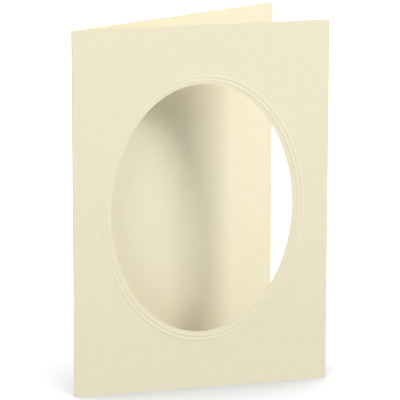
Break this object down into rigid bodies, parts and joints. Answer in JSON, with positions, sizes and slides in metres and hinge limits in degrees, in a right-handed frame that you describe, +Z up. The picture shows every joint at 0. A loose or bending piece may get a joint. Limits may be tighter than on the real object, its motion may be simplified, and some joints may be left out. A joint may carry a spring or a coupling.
{
  "type": "passe-partout card",
  "caption": "Folded cream card that stands half open, with an oval window in the front panel framed by a fine embossed oval ring.",
  "frame": {"origin": "middle of the card's bounding box, on the surface that the card stands on", "axes": "+Z up along the fold; -Y out of the front panel, which stands square to Y with the fold at -X; the back panel runs back from the fold at 25 degrees to the front panel"},
  "size_m": [0.12, 0.0516, 0.169],
  "materials": {
    "cream_card": "uncoated matt ivory card, smooth, with a faint fibre grain"
  },
  "bodies": {
    "root": {"folded_card": "cream_card"}
  },
  "joints": []
}
